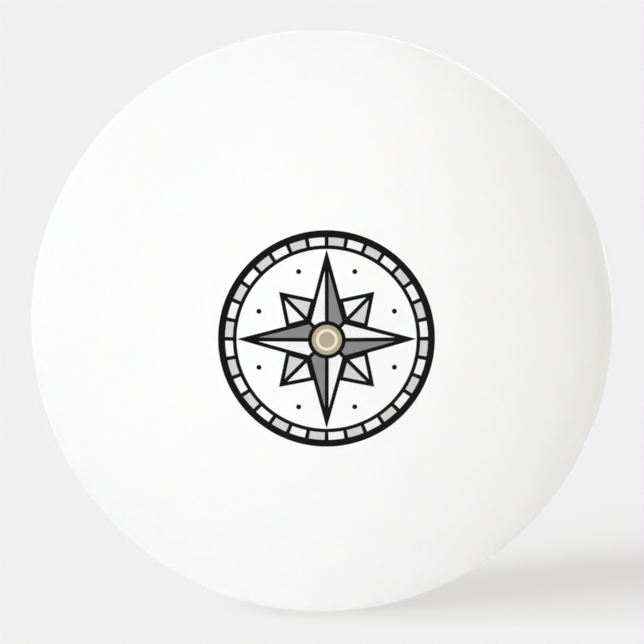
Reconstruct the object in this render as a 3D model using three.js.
// Hollow table tennis ball, in millimetres, +Z up, with the origin at the ball's centre.
// Two moulded half shells meet at a seam in the XZ plane, so each half's pole is on the Y axis.
// The front half's pole points along -Y. The rear half's rim steps in to a tongue that tucks inside the
// front half's lip, and a line of cement fills the lap and leaves a bead inside the ball.
import * as THREE from 'three';

// Ball: its size, and the wall away from the rim. The wall is thinnest at the crown of each half.
const ballDiameter = 40;
const crownWall = 0.45;
const sideWall = 0.48;

// Rim: two layers at the lap, with a land beside it that runs out into the plain wall.
const lipWall = 0.38;
const tongueWall = 0.4;
const tongueReach = 1.3;
const tongueLeadIn = 0.12;
const tongueTipGap = 0.14;
const landWidth = 0.9;
const landRunOut = 1.8;
const seamBevel = 0.04;

// Cement: the film in the lap, the bead over the tongue's tip, and how near the solids come to the walls.
const cementFilm = 0.06;
const cementGap = 0.01;
const beadWidth = 1.4;
const beadHeight = 0.2;

// Facets: steps round the ball's axis, and steps along each stretch of a profile.
const turns = 72;
const outerSteps = 18;
const innerSteps = 11;
const runOutSteps = 3;
const landSteps = 2;
const lapSteps = 2;
const beadSteps = 6;

// Concentric radii, from the outside of the ball inwards.
const ballRadius = ballDiameter / 2;
const rebateRadius = ballRadius - lipWall;
const tongueRadius = rebateRadius - cementFilm - 2 * cementGap;
const landRadius = tongueRadius - tongueWall;

// Latitudes are measured from the seam plane, up to a quarter turn at a pole.
const pole = Math.PI / 2;
const angleOf = (length, radius) => length / radius;
const tipLatitude = angleOf(tongueReach, tongueRadius);
const shoulderLatitude = angleOf(tongueReach + tongueTipGap, tongueRadius);
const bevelLatitude = angleOf(seamBevel, ballRadius);

// The land is as wide on the rear half, from the seam, as it is on the front half, from the shoulder.
const rearLandLatitude = angleOf(landWidth, landRadius);
const frontLandLatitude = shoulderLatitude + rearLandLatitude;
const runOutAngle = angleOf(landRunOut, landRadius);

// A point of a profile: radius from the ball's centre, at a latitude of the rear half.
function at(radius, latitude) {
  return new THREE.Vector2(radius * Math.cos(latitude), radius * Math.sin(latitude));
}

// Points along a stretch of a profile, both ends included, where the radius follows the latitude.
function stretch(radiusAt, from, to, steps) {
  const points = [];
  for (let step = 0; step <= steps; step += 1) {
    const latitude = from + ((to - from) * step) / steps;
    points.push(at(radiusAt(latitude), latitude));
  }
  return points;
}

function arc(radius, from, to, steps) {
  return stretch(() => radius, from, to, steps);
}

// The plain wall thins smoothly from the rim to the crown.
function plainInnerRadius(latitude) {
  const towardsCrown = Math.sin(latitude) ** 2;
  return ballRadius - sideWall + (sideWall - crownWall) * towardsCrown;
}

// Inside of a half from its land to its crown: the run-out from land to wall, then the plain wall.
function insideToCrown(landLatitude) {
  const wallLatitude = landLatitude + runOutAngle;
  const runOutRadius = (latitude) => {
    const along = THREE.MathUtils.smoothstep(latitude, landLatitude, wallLatitude);
    return THREE.MathUtils.lerp(landRadius, plainInnerRadius(latitude), along);
  };
  return [
    ...stretch(runOutRadius, landLatitude, wallLatitude, runOutSteps),
    ...stretch(plainInnerRadius, wallLatitude, pole, innerSteps),
  ];
}

// A profile is given once for each half as if its pole were at +Y; the front half mirrors it to -Y.
function mirrored(points) {
  return points.map((point) => new THREE.Vector2(point.x, -point.y)).reverse();
}

// Outer skin of a half from its pole to the seam, with the small bevel that shows as the seam line.
function outsideToSeam() {
  return [
    ...arc(ballRadius, pole, bevelLatitude, outerSteps),
    at(ballRadius - seamBevel, 0),
  ];
}

// Points on the axis are exactly on it, and a point that repeats its neighbour is dropped.
const repeatShare = 0.1;
function tidied(points) {
  const tooClose = cementGap * repeatShare;
  const cleaned = [];
  for (const point of points) {
    const onAxis = Math.abs(point.x) < tooClose;
    const placed = new THREE.Vector2(onAxis ? 0 : point.x, point.y);
    const last = cleaned.at(-1);
    if (!last || last.distanceTo(placed) > tooClose) {
      cleaned.push(placed);
    }
  }
  return cleaned;
}

function turned(name, profile, material) {
  const shape = new THREE.LatheGeometry(tidied(profile), turns);
  const mesh = new THREE.Mesh(shape, material);
  mesh.name = name;
  return mesh;
}

// Rear half: its tongue passes the seam plane, so its latitudes there are negative.
function rearHalfShell(material) {
  const leadInLatitude = tipLatitude - angleOf(tongueLeadIn, tongueRadius);
  const profile = [
    ...outsideToSeam(),
    ...arc(tongueRadius, 0, -leadInLatitude, lapSteps),
    at(tongueRadius - tongueLeadIn, -tipLatitude),
    ...arc(landRadius, -tipLatitude, rearLandLatitude, landSteps + lapSteps),
    ...insideToCrown(rearLandLatitude),
  ];
  return turned('rear_half_shell', profile.reverse(), material);
}

// Front half: the rebate takes the tongue, and stops at a shoulder just past its tip.
function frontHalfShell(material) {
  const profile = [
    ...outsideToSeam(),
    ...arc(rebateRadius, 0, shoulderLatitude, lapSteps),
    ...arc(landRadius, shoulderLatitude, frontLandLatitude, landSteps),
    ...insideToCrown(frontLandLatitude),
  ];
  return turned('front_half_shell', mirrored(profile.reverse()), material);
}

// Cement: a film round the tongue, a web past its tip, and a low bead on the inside of the ball.
function seamCement(material) {
  const filmOuter = rebateRadius - cementGap;
  const filmInner = tongueRadius + cementGap;
  const gapAngle = angleOf(cementGap, landRadius);
  const webInner = tipLatitude + gapAngle;
  const webOuter = shoulderLatitude - gapAngle;
  const beadMiddle = (webInner + webOuter) / 2;
  const beadHalf = angleOf(beadWidth, landRadius) / 2;
  const beadSeat = landRadius - cementGap;
  const beadRadius = (latitude) => {
    const across = (latitude - beadMiddle) / beadHalf;
    return beadSeat - beadHeight * (1 - across ** 2);
  };
  const profile = [
    ...arc(filmOuter, gapAngle, webOuter, lapSteps),
    ...arc(beadSeat, webOuter, beadMiddle + beadHalf, lapSteps),
    ...stretch(beadRadius, beadMiddle + beadHalf, beadMiddle - beadHalf, beadSteps),
    ...arc(beadSeat, beadMiddle - beadHalf, webInner, lapSteps),
    ...arc(filmInner, webInner, gapAngle, lapSteps),
    at(filmOuter, gapAngle),
  ];
  return turned('seam_cement', mirrored(profile), material);
}

const shellPlastic = new THREE.MeshStandardMaterial({
  color: 0xf6f6f3,
  roughness: 0.55,
  metalness: 0,
});
const driedCement = new THREE.MeshStandardMaterial({
  color: 0xe9e4d3,
  roughness: 0.35,
  metalness: 0,
});

const group = new THREE.Group();
group.add(frontHalfShell(shellPlastic));
group.add(rearHalfShell(shellPlastic));
group.add(seamCement(driedCement));

export default group;
